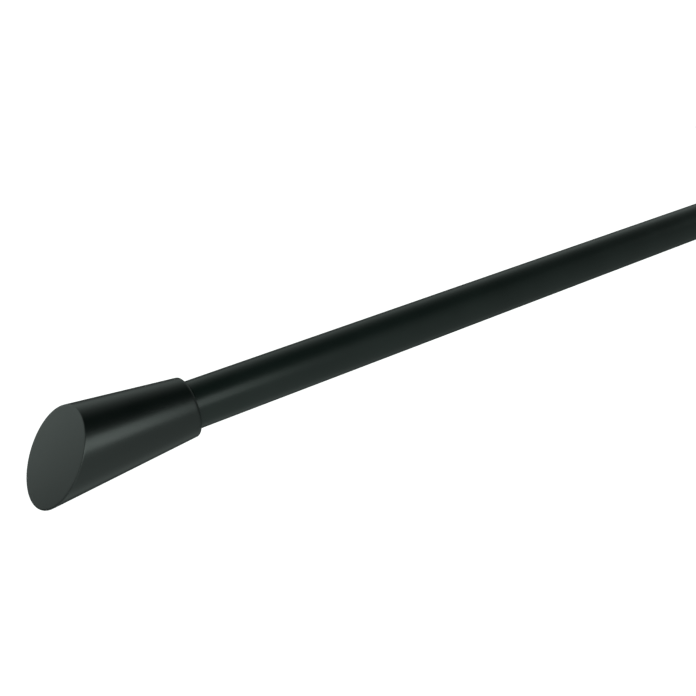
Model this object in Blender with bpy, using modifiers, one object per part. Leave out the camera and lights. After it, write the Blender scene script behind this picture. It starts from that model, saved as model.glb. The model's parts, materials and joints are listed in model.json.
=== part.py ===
"""Telescoping curtain rod with slant-cut finials and two adjustable wall brackets.

Metres, +Z up.  X runs along the rod, +Y points into the wall and the wall's surface is the plane Y = 0.
The origin is the middle of the left wall plate's back, where the set hangs on the wall.
"""

import math

import bmesh
import bpy
from mathutils import Matrix, Vector

# ---- rod ----
SPAN = 0.70  # left bracket to right bracket, centre to centre
OVERHANG = 0.48  # bracket centre to the finial's collar
PROJECTION = 0.085  # wall to the rod's centre line
OUTER_TUBE_RADIUS = 0.0095
TUBE_WALL = 0.0006
TUBE_INSERTION = 0.022  # how far a tube goes into its finial
MOUTH_TO_BRACKET = 0.152  # open end of the outer tube to the right bracket's centre
OVERLAP = 0.396  # length of inner tube that is inside the outer tube

# ---- clearances ----
SLIDE = 0.0002  # round a piece that slides or turns in another
SEAT = 0.0003  # between faces that bear on each other
FLOOR_OF_SOCKET = 0.0025  # metal left behind the arm's socket

# ---- nylon joint in the telescoping tubes ----
BUSH_WALL = 0.0005
BUSH_SPIGOT = 0.014
BUSH_LIP = 0.0018
BUSH_LIP_PROUD = 0.0004
GLIDE_HEAD = 0.007
GLIDE_STEM = 0.012

# ---- finials ----
COLLAR_WALL = 0.00211
COLLAR_ROUND = 0.0014
FINIAL_TAPER = 0.0953  # gain in radius for each unit of length
FINIAL_LENGTH = 0.05103  # collar face to the cut, along the centre line
CUT_ANGLE = math.radians(33.1)  # between the cut and a square end
CUT_EDGE_ROUND = 0.0004
BORE_RELIEF = 0.001  # bore depth beyond the tube's end
GRUB_RADIUS = 0.002
GRUB_STATION = 0.010  # collar face to the finial's grub screw
GRUB_SINK = 0.0004  # how far a grub screw's end lies under the surface
SLEEVE_SLOT = 0.0052

# ---- wall plate ----
PLATE_THICKNESS = 0.0032
PLATE_RIM = 0.0020  # width of the flat rim that bears on the wall
PLATE_RECESS = 0.0009  # relief in the back, which takes the anchors' flanges
BOSS_WALL = 0.0038
BOSS_LENGTH = 0.034
DRIVER_ROOM = 0.0024  # between the boss and a wall screw's head
ARM_SCREW_INSET = 0.004  # boss end to the arm's grub screw

# ---- wall screws and anchors ----
SCREW_RADIUS = 0.0020
SCREW_HEAD_RADIUS = 0.0041
SCREW_LENGTH = 0.033
SCREW_PLAY = 0.0005  # round the shank in the plate's hole
RECESS_WIDTH = 0.0009
ANCHOR_WALL = 0.0012
ANCHOR_LENGTH = 0.030
ANCHOR_FLANGE_WIDTH = 0.0018
ANCHOR_FLANGE = 0.0005
ANCHOR_SLOT = 0.0009

# ---- rose ----
ROSE_WALL = 0.0010
ROSE_DEPTH = 0.012
ROSE_ROUND = 0.004
ROSE_LIFT = 0.0006  # rose rim to the wall

# ---- arm and cradle ----
ARM_RADIUS = 0.005
ARM_REST = 0.014  # wall to the arm's hidden end
ARM_SHOULDER = 0.002  # step from the arm down to its spigot
ARM_SPIGOT = 0.007
ARM_CHAMFER = 0.0006
CRADLE_WALL = 0.0026
CRADLE_CORNER = 0.005
CRADLE_EDGE = 0.0006
PAD_WALL = 0.0013  # liner under the outer tube
PAD_ARC = math.radians(140)
BACK_BOSS_WALL = 0.0018  # boss round the arm's end
BACK_BOSS_LENGTH = 0.0082
BOSS_BORDER = 0.0005  # cup wall beyond the back boss, to each side
TIP_BORDER = 0.0012  # cup wall above the back boss
FRONT_BOSS_WALL = 0.0024
FRONT_BOSS_LENGTH = 0.0045

# ---- thumb screw ----
THUMB_RADIUS = 0.0024
THUMB_SHANK = 0.012
THUMB_HEAD_RADIUS = 0.006
THUMB_HEAD = 0.008
THUMB_FLUTES = 20
THUMB_FLUTE_DEPTH = 0.0005

# ---- facets ----
ROUND_STEPS = 36
SMALL_STEPS = 16
CORNER_STEPS = 4
CUP_STEPS = 16

# ---- what follows from the sizes above ----
OUTER_TUBE_BORE = OUTER_TUBE_RADIUS - TUBE_WALL
INNER_TUBE_RADIUS = OUTER_TUBE_BORE - 2 * SLIDE - BUSH_WALL
INNER_TUBE_BORE = INNER_TUBE_RADIUS - TUBE_WALL
LEFT_COLLAR_X = -OVERHANG
RIGHT_COLLAR_X = SPAN + OVERHANG
MOUTH_X = SPAN - MOUTH_TO_BRACKET
FINIAL_BORE = OUTER_TUBE_RADIUS + SLIDE
FINIAL_BORE_DEPTH = TUBE_INSERTION + BORE_RELIEF
COLLAR_RADIUS = FINIAL_BORE + COLLAR_WALL
ARM_BORE = ARM_RADIUS + SLIDE
ARM_SPIGOT_RADIUS = ARM_RADIUS - ARM_SHOULDER
BOSS_RADIUS = ARM_BORE + BOSS_WALL
HOLE_PITCH = BOSS_RADIUS + DRIVER_ROOM + SCREW_HEAD_RADIUS  # plate centre to each wall screw
SCREW_HOLE_RADIUS = SCREW_RADIUS + SCREW_PLAY
ANCHOR_RADIUS = SCREW_RADIUS + SLIDE + ANCHOR_WALL
ANCHOR_FLANGE_RADIUS = ANCHOR_RADIUS + ANCHOR_FLANGE_WIDTH
PAD_RADIUS = HOLE_PITCH - ANCHOR_FLANGE_RADIUS - 4 * SEAT  # flat middle that bears on the wall
RELIEF_RADIUS = HOLE_PITCH + ANCHOR_FLANGE_RADIUS + SEAT
PLATE_RADIUS = RELIEF_RADIUS + PLATE_RIM
CUP_BORE = OUTER_TUBE_RADIUS + SLIDE + PAD_WALL + SLIDE
CUP_OUTSIDE = CUP_BORE + CRADLE_WALL
BACK_BOSS_RADIUS = ARM_RADIUS + BACK_BOSS_WALL
FRONT_BOSS_RADIUS = THUMB_RADIUS + SLIDE + FRONT_BOSS_WALL
CRADLE_WIDTH = 2 * (BACK_BOSS_RADIUS + BOSS_BORDER)
CRADLE_TIP = BACK_BOSS_RADIUS + TIP_BORDER  # height of the cup's tips over the rod's centre line
ROD_AXIS = Vector((0.0, -PROJECTION, 0.0))

ALONG_X = (0.0, math.radians(90), 0.0)  # a turned part's height runs along +X
ALONG_Y = (math.radians(-90), 0.0, 0.0)  # ... along +Y
ALONG_Z = (0.0, 0.0, 0.0)
OUTLINE_XZ = (math.radians(90), 0.0, 0.0)  # an outline stands in the XZ plane
OUTLINE_YZ = (math.radians(90), 0.0, math.radians(90))  # ... in the YZ plane


# ---- scene, collections and materials ----


def clear_scene():
    for item in list(bpy.data.objects):
        bpy.data.objects.remove(item, do_unlink=True)


def collection(name):
    made = bpy.data.collections.new(name)
    bpy.context.scene.collection.children.link(made)
    return made


def material(name, colour, roughness, metallic):
    made = bpy.data.materials.new(name)
    made.use_nodes = True
    shader = made.node_tree.nodes["Principled BSDF"]
    shader.inputs["Base Color"].default_value = (*colour, 1.0)
    shader.inputs["Roughness"].default_value = roughness
    shader.inputs["Metallic"].default_value = metallic
    made.diffuse_color = (*colour, 1.0)
    return made


clear_scene()
PARTS = collection("curtain_rod_with_brackets")
TOOLS = collection("cutters")
POWDER_COAT = material("black_powder_coat", (0.014, 0.016, 0.0155), 0.42, 0.0)
BLACK_NYLON = material("black_nylon", (0.022, 0.022, 0.023), 0.55, 0.0)
GREY_NYLON = material("grey_nylon", (0.42, 0.43, 0.43), 0.55, 0.0)
ZINC_STEEL = material("zinc_steel", (0.60, 0.61, 0.62), 0.35, 1.0)
BLACK_OXIDE = material("black_oxide", (0.045, 0.045, 0.048), 0.40, 1.0)


# ---- making and joining shapes ----


def add_object(name, mesh, finish, where, turn, parent):
    made = bpy.data.objects.new(name, mesh)
    PARTS.objects.link(made)
    mesh.materials.append(finish)
    made.location = where
    made.rotation_euler = turn
    made.parent = parent
    return made


def as_tool(item):
    """Moves a helper shape to the cutters, where it isn't part of the object."""
    PARTS.objects.unlink(item)
    TOOLS.objects.link(item)
    item.hide_render = True
    item.display_type = "WIRE"
    return item


def empty(name, where, parent=None):
    made = bpy.data.objects.new(name, None)
    PARTS.objects.link(made)
    made.location = where
    made.parent = parent
    return made


def turned(name, profile, finish, where, turn, parent=None, steps=ROUND_STEPS):
    """A solid of revolution from (radius, height) points that run down its outer side.

    The profile is closed at the axis, or on itself where the solid is hollow.
    """
    mesh = bpy.data.meshes.new(name)
    points = [(radius, 0.0, height) for radius, height in profile]
    edges = [(i, i + 1) for i in range(len(points) - 1)]
    if profile[0][0] > 0:
        edges.append((len(points) - 1, 0))
    mesh.from_pydata(points, edges, [])
    made = add_object(name, mesh, finish, where, turn, parent)
    screw = made.modifiers.new("turn", "SCREW")
    screw.steps = steps
    screw.render_steps = steps
    screw.use_merge_vertices = True
    screw.merge_threshold = 0.00001
    screw.use_smooth_shade = True
    return made


def rod(name, radius, low, high, finish, where, turn, parent=None, steps=SMALL_STEPS):
    """A plain round bar between two heights."""
    profile = [(0.0, high), (radius, high), (radius, low), (0.0, low)]
    return turned(name, profile, finish, where, turn, parent, steps)


def box(name, low, high, finish, where, turn, parent=None):
    mesh = bpy.data.meshes.new(name)
    shape = bmesh.new()
    bmesh.ops.create_cube(shape, size=1.0)
    size = Vector(high) - Vector(low)
    middle = (Vector(high) + Vector(low)) / 2
    place = Matrix.Translation(middle) @ Matrix.Diagonal((*size, 1.0))
    bmesh.ops.transform(shape, matrix=place, verts=shape.verts)
    shape.to_mesh(mesh)
    shape.free()
    return add_object(name, mesh, finish, where, turn, parent)


def boolean(piece, tool, operation):
    step = piece.modifiers.new(operation.lower(), "BOOLEAN")
    step.operation = operation
    step.solver = "EXACT"
    step.object = as_tool(tool)


def cut(piece, tool):
    boolean(piece, tool, "DIFFERENCE")


def join(piece, tool):
    boolean(piece, tool, "UNION")


def round_edges(piece, width, segments=2, angle=math.radians(40)):
    step = piece.modifiers.new("round", "BEVEL")
    step.width = width
    step.segments = segments
    step.limit_method = "ANGLE"
    step.angle_limit = angle


def arc(radius, start, stop, steps=CORNER_STEPS, middle=(0.0, 0.0)):
    """Points on a circle from one angle to another, both ends included."""
    angles = [start + (stop - start) * i / steps for i in range(steps + 1)]
    return [(middle[0] + radius * math.cos(a), middle[1] + radius * math.sin(a)) for a in angles]


def outline_solid(name, points, thickness, finish, where, turn, parent=None):
    """A flat outline with a thickness, made a mesh so that it can be cut and joined."""
    curve = bpy.data.curves.new(name + "_outline", "CURVE")
    curve.dimensions = "2D"
    curve.fill_mode = "BOTH"
    curve.extrude = thickness / 2
    line = curve.splines.new("POLY")
    line.points.add(len(points) - 1)
    for point, (x, y) in zip(line.points, points):
        point.co = (x, y, 0.0, 1.0)
    line.use_cyclic_u = True
    drawn = bpy.data.objects.new(name + "_outline", curve)
    PARTS.objects.link(drawn)
    bpy.context.view_layer.update()
    mesh = bpy.data.meshes.new_from_object(drawn.evaluated_get(bpy.context.evaluated_depsgraph_get()))
    bpy.data.objects.remove(drawn, do_unlink=True)
    shape = bmesh.new()
    shape.from_mesh(mesh)
    bmesh.ops.remove_doubles(shape, verts=shape.verts, dist=0.00001)
    bmesh.ops.dissolve_limit(shape, angle_limit=0.001, verts=shape.verts, edges=shape.edges)
    bmesh.ops.recalc_face_normals(shape, faces=shape.faces)
    shape.to_mesh(mesh)
    shape.free()
    mesh.name = name
    mesh.materials.clear()
    return add_object(name, mesh, finish, where, turn, parent)


# ---- the telescoping rod ----


def tube(name, outside, inside, start, stop, finish):
    profile = [(outside, stop), (outside, start), (inside, start), (inside, stop)]
    return turned(name, profile, finish, ROD_AXIS, ALONG_X)


def outer_tube():
    start = LEFT_COLLAR_X - TUBE_INSERTION
    return tube("outer_tube", OUTER_TUBE_RADIUS, OUTER_TUBE_BORE, start, MOUTH_X, POWDER_COAT)


def inner_tube():
    start = MOUTH_X - OVERLAP
    stop = RIGHT_COLLAR_X + TUBE_INSERTION
    return tube("inner_tube", INNER_TUBE_RADIUS, INNER_TUBE_BORE, start, stop, POWDER_COAT)


def mouth_bush():
    """Nylon bush between the two tubes: a spigot in the outer tube and a lip over its end."""
    bore = INNER_TUBE_RADIUS + SLIDE
    spigot = OUTER_TUBE_BORE - SLIDE
    lip = OUTER_TUBE_RADIUS + BUSH_LIP_PROUD
    face = SEAT + BUSH_LIP
    lip_round = BUSH_LIP_PROUD
    profile = [
        (bore, face),
        (lip - lip_round, face),
        (lip, face - lip_round),
        (lip, SEAT),
        (spigot, SEAT),
        (spigot, -BUSH_SPIGOT),
        (bore, -BUSH_SPIGOT),
    ]
    where = ROD_AXIS + Vector((MOUTH_X, 0.0, 0.0))
    return turned("mouth_bush", profile, BLACK_NYLON, where, ALONG_X)


def inner_glide():
    """Nylon plug on the hidden end of the inner tube, which runs in the outer tube's bore."""
    head = OUTER_TUBE_BORE - SLIDE
    stem = INNER_TUBE_BORE - SLIDE
    edge = head / 8
    profile = [
        (0.0, GLIDE_STEM),
        (stem - edge, GLIDE_STEM),
        (stem, GLIDE_STEM - edge),
        (stem, -SEAT),
        (head - edge, -SEAT),
        (head, -SEAT - edge),
        (head, -GLIDE_HEAD + edge),
        (head - edge, -GLIDE_HEAD),
        (0.0, -GLIDE_HEAD),
    ]
    where = ROD_AXIS + Vector((MOUTH_X - OVERLAP, 0.0, 0.0))
    return turned("inner_glide", profile, BLACK_NYLON, where, ALONG_X)


# ---- finials ----


def finial_radius(depth):
    """Outside radius at a depth behind the collar's face."""
    return COLLAR_RADIUS + FINIAL_TAPER * (depth - COLLAR_ROUND)


def finial(side, collar_x, heading):
    """A flared cone whose end is cut on a slant, with a collar bored to slip over the tube.

    The left and the right finial are the same shape turned end for end.
    """
    hub = empty(side + "_finial_axis", ROD_AXIS + Vector((collar_x, 0.0, 0.0)))
    hub.rotation_euler = (0.0, 0.0, heading)
    blank = FINIAL_LENGTH + 2 * finial_radius(FINIAL_LENGTH) * math.tan(CUT_ANGLE)
    profile = [(0.0, -FINIAL_BORE_DEPTH), (FINIAL_BORE, -FINIAL_BORE_DEPTH), (FINIAL_BORE, 0.0)]
    middle = (COLLAR_RADIUS - COLLAR_ROUND, -COLLAR_ROUND)
    profile += arc(COLLAR_ROUND, math.radians(90), 0.0, middle=middle)
    profile += [(finial_radius(blank), -blank), (0.0, -blank)]
    made = turned(side + "_finial", profile, POWDER_COAT, (0.0, 0.0, 0.0), ALONG_X, hub)
    reach = 2 * blank
    wedge = box(
        side + "_finial_cut",
        (-reach, -reach, -reach),
        (0.0, reach, reach),
        POWDER_COAT,
        (-FINIAL_LENGTH, 0.0, 0.0),
        (0.0, CUT_ANGLE, 0.0),
        hub,
    )
    cut(made, wedge)
    round_edges(made, CUT_EDGE_ROUND, segments=2)
    drill = rod(
        side + "_finial_drill",
        GRUB_RADIUS + SLIDE,
        -finial_radius(GRUB_STATION) - COLLAR_WALL,
        -FINIAL_BORE + COLLAR_WALL,
        POWDER_COAT,
        (-GRUB_STATION, 0.0, 0.0),
        ALONG_Z,
        hub,
    )
    cut(made, drill)
    return hub


def grub_screw(name, tip, end, where, parent):
    """Headless screw, pointing up, with a hexagon socket in its lower end."""
    socket = GRUB_RADIUS / 2
    depth = (end - tip) * 0.45
    point = GRUB_RADIUS * 0.3
    profile = [
        (0.0, -tip),
        (GRUB_RADIUS - point, -tip),
        (GRUB_RADIUS, -tip - point),
        (GRUB_RADIUS, -end),
        (0.0, -end),
    ]
    made = turned(name, profile, BLACK_OXIDE, where, ALONG_Z, parent, SMALL_STEPS)
    key = rod(name + "_key", socket, -2 * end, -end + depth, BLACK_OXIDE, where, ALONG_Z, parent, 6)
    cut(made, key)
    return made


def finial_grub(side, hub, tube_radius):
    end = finial_radius(GRUB_STATION) - GRUB_SINK
    return grub_screw(side + "_finial_screw", tube_radius + SEAT, end, (-GRUB_STATION, 0.0, 0.0), hub)


def reducer_sleeve(hub):
    """Split nylon sleeve round the thinner tube in the right finial, slotted for the grub screw."""
    outside = FINIAL_BORE - SLIDE
    inside = INNER_TUBE_RADIUS + SLIDE
    end = -TUBE_INSERTION
    profile = [(outside, -SEAT), (outside, end), (inside, end), (inside, -SEAT)]
    made = turned("reducer_sleeve", profile, BLACK_NYLON, (0.0, 0.0, 0.0), ALONG_X, hub)
    half = SLEEVE_SLOT / 2
    low = (-2 * TUBE_INSERTION, -half, -2 * outside)
    slot = box("reducer_slot", low, (TUBE_INSERTION, half, 0.0), BLACK_NYLON, (0.0, 0.0, 0.0), ALONG_Z, hub)
    cut(made, slot)
    return made


# ---- wall plate and its fasteners ----


def wall_plate(side, frame):
    """Round plate with a relieved back, two countersunk holes and the long boss that the arm slides in."""
    front = -PLATE_THICKNESS
    boss_end = front - BOSS_LENGTH
    edge = PLATE_THICKNESS / 4
    profile = [
        (0.0, 0.0),
        (PAD_RADIUS, 0.0),
        (PAD_RADIUS, -PLATE_RECESS),
        (RELIEF_RADIUS, -PLATE_RECESS),
        (RELIEF_RADIUS, 0.0),
        (PLATE_RADIUS, 0.0),
        (PLATE_RADIUS, front + edge),
        (PLATE_RADIUS - edge, front),
        (BOSS_RADIUS, front),
        (BOSS_RADIUS, boss_end + edge),
        (BOSS_RADIUS - edge, boss_end),
        (ARM_BORE, boss_end),
        (ARM_BORE, -FLOOR_OF_SOCKET),
        (0.0, -FLOOR_OF_SOCKET),
    ]
    made = turned(side + "_wall_plate", profile, POWDER_COAT, (0.0, 0.0, 0.0), ALONG_Y, frame)
    sink = SCREW_HEAD_RADIUS + SLIDE
    sink_depth = sink - SCREW_HOLE_RADIUS
    hole = [
        (0.0, PLATE_THICKNESS),
        (SCREW_HOLE_RADIUS, PLATE_THICKNESS),
        (SCREW_HOLE_RADIUS, front + sink_depth),
        (sink, front),
        (sink, front - PLATE_THICKNESS),
        (0.0, front - PLATE_THICKNESS),
    ]
    for place, height in (("upper", HOLE_PITCH), ("lower", -HOLE_PITCH)):
        name = f"{side}_plate_hole_{place}"
        cut(made, turned(name, hole, POWDER_COAT, (0.0, 0.0, height), ALONG_Y, frame, SMALL_STEPS))
    where = (0.0, boss_end + ARM_SCREW_INSET, 0.0)
    name = side + "_boss_drill"
    low = -2 * BOSS_RADIUS
    cut(made, rod(name, GRUB_RADIUS + SLIDE, low, -ARM_BORE / 2, POWDER_COAT, where, ALONG_Z, frame))
    grub_screw(side + "_arm_screw", ARM_RADIUS + SEAT, BOSS_RADIUS - GRUB_SINK / 2, where, frame)
    return made


def wall_screw(name, height, frame):
    """Countersunk wood screw with a cross recess, its head flush with the plate's front."""
    head = -PLATE_THICKNESS
    neck = head + SCREW_HEAD_RADIUS - SCREW_RADIUS
    point = head + SCREW_LENGTH
    taper = 3 * SCREW_RADIUS
    profile = [
        (0.0, point),
        (SCREW_RADIUS, point - taper),
        (SCREW_RADIUS, neck),
        (SCREW_HEAD_RADIUS, head),
        (0.0, head),
    ]
    where = (0.0, 0.0, height)
    made = turned(name, profile, ZINC_STEEL, where, ALONG_Y, frame, SMALL_STEPS)
    half = RECESS_WIDTH / 2
    arm = SCREW_HEAD_RADIUS * 0.6
    depth = SCREW_HEAD_RADIUS * 0.35
    for label, wide, tall in (("a", arm, half), ("b", half, arm)):
        low = (-wide, head - depth, -tall)
        high = (wide, head + depth, tall)
        cut(made, box(f"{name}_recess_{label}", low, high, ZINC_STEEL, where, ALONG_Z, frame))
    return made


def wall_anchor(name, height, frame):
    """Nylon plug in the wall, flanged and slit so that the screw spreads it."""
    bore = SCREW_RADIUS + SLIDE
    tip = ANCHOR_RADIUS * 0.8
    profile = [
        (tip, ANCHOR_LENGTH),
        (ANCHOR_RADIUS, ANCHOR_LENGTH * 0.8),
        (ANCHOR_RADIUS, 0.0),
        (ANCHOR_FLANGE_RADIUS, 0.0),
        (ANCHOR_FLANGE_RADIUS, -ANCHOR_FLANGE),
        (bore, -ANCHOR_FLANGE),
        (bore, ANCHOR_LENGTH),
    ]
    where = (0.0, 0.0, height)
    made = turned(name, profile, GREY_NYLON, where, ALONG_Y, frame, SMALL_STEPS)
    low = (-2 * ANCHOR_RADIUS, ANCHOR_LENGTH * 0.3, -ANCHOR_SLOT / 2)
    high = (2 * ANCHOR_RADIUS, ANCHOR_LENGTH * 0.85, ANCHOR_SLOT / 2)
    cut(made, box(name + "_slit", low, high, GREY_NYLON, where, ALONG_Z, frame))
    return made


def rose(side, frame):
    """Pressed cover that slides along the boss and hides the plate and its screws."""
    inside = PLATE_RADIUS + SEAT + SLIDE
    outside = inside + ROSE_WALL
    hole = BOSS_RADIUS + SLIDE
    rim = -ROSE_LIFT
    front = rim - ROSE_DEPTH
    outer_middle = (outside - ROSE_ROUND, front + ROSE_ROUND)
    inner_round = ROSE_ROUND - ROSE_WALL
    profile = [(outside, rim)]
    profile += arc(ROSE_ROUND, 0.0, math.radians(-90), middle=outer_middle)
    profile += [(hole, front), (hole, front + ROSE_WALL)]
    profile += arc(inner_round, math.radians(-90), 0.0, middle=outer_middle)
    profile += [(inside, rim)]
    return turned(side + "_rose", profile, POWDER_COAT, (0.0, 0.0, 0.0), ALONG_Y, frame)


# ---- arm and cradle ----


def arm(side, frame):
    """Round bar that slides in the wall plate's boss and ends in a spigot screwed into the cradle."""
    shoulder = -PROJECTION + CUP_OUTSIDE + BACK_BOSS_LENGTH + SEAT
    profile = [
        (0.0, -ARM_REST),
        (ARM_RADIUS - ARM_CHAMFER, -ARM_REST),
        (ARM_RADIUS, -ARM_REST - ARM_CHAMFER),
        (ARM_RADIUS, shoulder + ARM_CHAMFER),
        (ARM_RADIUS - ARM_CHAMFER, shoulder),
        (ARM_SPIGOT_RADIUS, shoulder),
        (ARM_SPIGOT_RADIUS, shoulder - ARM_SPIGOT),
        (0.0, shoulder - ARM_SPIGOT),
    ]
    return turned(side + "_arm", profile, POWDER_COAT, (0.0, 0.0, 0.0), ALONG_Y, frame)


def cup_outline(inside, outside, tip):
    """A U that stands open upward, as (toward the wall, up)."""
    points = [(outside, tip)]
    points += arc(outside, 0.0, math.radians(-180), CUP_STEPS)
    points += [(-outside, tip), (-inside, tip)]
    points += arc(inside, math.radians(-180), 0.0, CUP_STEPS)
    points += [(inside, tip)]
    return points


def tab_outline(half, corner, top, bottom):
    """Front view of the cup, as (along the rod, up): square below, with rounded corners at the tips."""
    left = (-half + corner, top - corner)
    right = (half - corner, top - corner)
    points = [(half, 2 * bottom)]
    points += arc(corner, 0.0, math.radians(90), middle=right)
    points += arc(corner, math.radians(90), math.radians(180), middle=left)
    return points + [(-half, 2 * bottom)]


def cradle(side, frame):
    """Open cup under the rod, with a boss for the arm behind it and a boss for the thumb screw in front."""
    outline = cup_outline(CUP_BORE, CUP_OUTSIDE, CRADLE_TIP)
    made = outline_solid(side + "_cradle", outline, CRADLE_WIDTH, POWDER_COAT, ROD_AXIS, OUTLINE_YZ, frame)
    face = tab_outline(CRADLE_WIDTH / 2, CRADLE_CORNER, CRADLE_TIP, -CUP_OUTSIDE)
    name = side + "_cup_face"
    tabs = outline_solid(name, face, 3 * CUP_OUTSIDE, POWDER_COAT, ROD_AXIS, OUTLINE_XZ, frame)
    boolean(made, tabs, "INTERSECT")
    round_edges(made, CRADLE_EDGE, segments=2)
    root = CUP_BORE + SEAT
    back = CUP_OUTSIDE + BACK_BOSS_LENGTH
    front = CUP_OUTSIDE + FRONT_BOSS_LENGTH
    socket = back - ARM_SPIGOT - SEAT

    def bar(label, radius, low, high):
        return rod(f"{side}_{label}", radius, low, high, POWDER_COAT, ROD_AXIS, ALONG_Y, frame, ROUND_STEPS)

    join(made, bar("back_boss", BACK_BOSS_RADIUS, root, back))
    join(made, bar("front_boss", FRONT_BOSS_RADIUS, -front, -root))
    cut(made, bar("spigot_bore", ARM_SPIGOT_RADIUS + SLIDE, socket, 2 * back))
    cut(made, bar("thumb_bore", THUMB_RADIUS + SLIDE, -2 * front, 0.0))
    return made


def cradle_pad(side, tube_radius, frame):
    """Soft liner in the bottom of the cup, thicker under the thinner tube so that the rod lies level."""
    inside = tube_radius + SLIDE
    outside = CUP_BORE - SLIDE
    start = math.radians(-90) - PAD_ARC / 2
    stop = math.radians(-90) + PAD_ARC / 2
    outline = arc(outside, stop, start, CUP_STEPS) + arc(inside, start, stop, CUP_STEPS)
    width = CRADLE_WIDTH - 2 * CRADLE_EDGE
    return outline_solid(side + "_cradle_pad", outline, width, BLACK_NYLON, ROD_AXIS, OUTLINE_YZ, frame)


def thumb_screw(side, tube_radius, frame):
    """Knurled screw through the front of the cup, which clamps the rod."""
    tip = -tube_radius - SEAT
    neck = tip - THUMB_SHANK
    middle = neck - THUMB_HEAD / 2
    mesh = bpy.data.meshes.new(side + "_thumb_screw")
    shape = bmesh.new()
    bmesh.ops.create_cone(
        shape,
        cap_ends=True,
        segments=2 * THUMB_FLUTES,
        radius1=THUMB_HEAD_RADIUS,
        radius2=THUMB_HEAD_RADIUS,
        depth=THUMB_HEAD,
    )
    for vert in shape.verts:
        share = math.atan2(vert.co.y, vert.co.x) / (2 * math.pi) * 2 * THUMB_FLUTES
        if round(share) % 2:
            vert.co.xy *= 1 - THUMB_FLUTE_DEPTH / THUMB_HEAD_RADIUS
    shape.to_mesh(mesh)
    shape.free()
    where = ROD_AXIS + Vector((0.0, middle, 0.0))
    made = add_object(side + "_thumb_screw", mesh, BLACK_OXIDE, where, ALONG_Y, frame)
    name = side + "_thumb_shank"
    join(made, rod(name, THUMB_RADIUS, middle, tip, BLACK_OXIDE, ROD_AXIS, ALONG_Y, frame))
    return made


def bracket(side, station, tube_radius):
    frame = empty(side + "_bracket", (station, 0.0, 0.0))
    wall_plate(side, frame)
    for place, height in (("upper", HOLE_PITCH), ("lower", -HOLE_PITCH)):
        wall_screw(f"{side}_wall_screw_{place}", height, frame)
        wall_anchor(f"{side}_wall_anchor_{place}", height, frame)
    rose(side, frame)
    arm(side, frame)
    cradle(side, frame)
    cradle_pad(side, tube_radius, frame)
    thumb_screw(side, tube_radius, frame)


# ---- the whole set ----

outer_tube()
inner_tube()
mouth_bush()
inner_glide()
left_hub = finial("left", LEFT_COLLAR_X, 0.0)
finial_grub("left", left_hub, OUTER_TUBE_RADIUS)
right_hub = finial("right", RIGHT_COLLAR_X, math.radians(180))
finial_grub("right", right_hub, INNER_TUBE_RADIUS)
reducer_sleeve(right_hub)
bracket("left", 0.0, OUTER_TUBE_RADIUS)
bracket("right", SPAN, INNER_TUBE_RADIUS)
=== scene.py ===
# %% [markdown]
# # A curtain rod with brackets, dressed for the camera
#
# The working model of the rod arrives as plain faceted solids that already fit and move. This lesson gives
# each of them a finely made twin with its real finish, lights the set softly and looks at the near finial.
#
# A twin never changes a size: it takes its place from the box of the solid that it stands for, and it rides
# on the same moving body. The sizes that a box can't tell, such as a wall or a bore, are named where they
# are used.

# %% Load the frame
import json
import math

import bmesh
import bpy
import numpy as np
from mathutils import Matrix, Vector


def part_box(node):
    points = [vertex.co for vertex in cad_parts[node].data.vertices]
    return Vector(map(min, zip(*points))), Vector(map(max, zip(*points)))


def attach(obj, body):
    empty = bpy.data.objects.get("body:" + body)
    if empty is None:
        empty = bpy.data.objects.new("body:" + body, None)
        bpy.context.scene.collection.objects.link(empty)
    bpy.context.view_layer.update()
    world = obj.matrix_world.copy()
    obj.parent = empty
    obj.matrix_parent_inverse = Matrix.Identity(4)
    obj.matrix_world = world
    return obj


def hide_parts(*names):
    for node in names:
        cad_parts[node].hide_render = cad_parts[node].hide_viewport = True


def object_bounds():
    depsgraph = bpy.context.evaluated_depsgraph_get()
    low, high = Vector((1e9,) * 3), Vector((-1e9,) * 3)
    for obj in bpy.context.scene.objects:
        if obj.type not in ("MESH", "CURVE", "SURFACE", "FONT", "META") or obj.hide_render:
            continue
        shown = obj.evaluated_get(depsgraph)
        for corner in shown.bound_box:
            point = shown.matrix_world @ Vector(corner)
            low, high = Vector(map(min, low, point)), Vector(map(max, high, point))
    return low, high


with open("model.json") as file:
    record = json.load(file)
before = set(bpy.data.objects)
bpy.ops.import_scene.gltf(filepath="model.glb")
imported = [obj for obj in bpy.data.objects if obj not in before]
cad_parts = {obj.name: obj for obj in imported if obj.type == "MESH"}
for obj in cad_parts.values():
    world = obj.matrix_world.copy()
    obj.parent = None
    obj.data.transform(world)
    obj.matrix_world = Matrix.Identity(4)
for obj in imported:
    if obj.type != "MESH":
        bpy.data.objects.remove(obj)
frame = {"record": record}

cad_low, cad_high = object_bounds()
home = {node: body for body, nodes in frame["record"]["behaviour"]["bodies"].items() for node in nodes}
print("the set measures", [round((high - low) * 1000, 1) for low, high in zip(cad_low, cad_high)], "mm")

# %% [markdown]
# ## Where everything is
#
# X runs along the rod, Y into the wall and Z up. The outer tube gives the rod's centre line and radius, the
# finials give the two collar faces, and the wall plates give the two places where the set hangs.

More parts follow.
